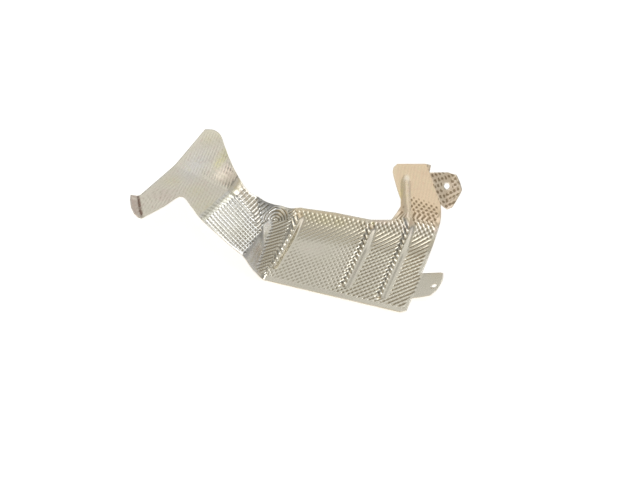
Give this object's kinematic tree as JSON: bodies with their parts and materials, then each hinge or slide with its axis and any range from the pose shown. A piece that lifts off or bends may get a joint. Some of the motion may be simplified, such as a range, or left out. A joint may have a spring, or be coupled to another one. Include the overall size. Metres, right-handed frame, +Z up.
{
  "type": "fuel tank heat shield",
  "caption": "Embossed aluminium sheet pressed into a ribbed tray with a raised neck and wing, a sloping arm and bolt tabs, keeping exhaust heat off a fuel tank.",
  "frame": {"origin": "centre of the bounding box, at the level of the rib bottoms on which the sheet rests", "axes": "+X along the floor panel towards its two bolt tabs, +Y along the ribs towards the sloping arm, +Z up, square to the floor panel"},
  "size_m": [0.3916, 0.1893, 0.0778],
  "materials": {
    "sheet": "embossed bare metal"
  },
  "bodies": {
    "root": {"heat_shield": "sheet"}
  },
  "joints": []
}
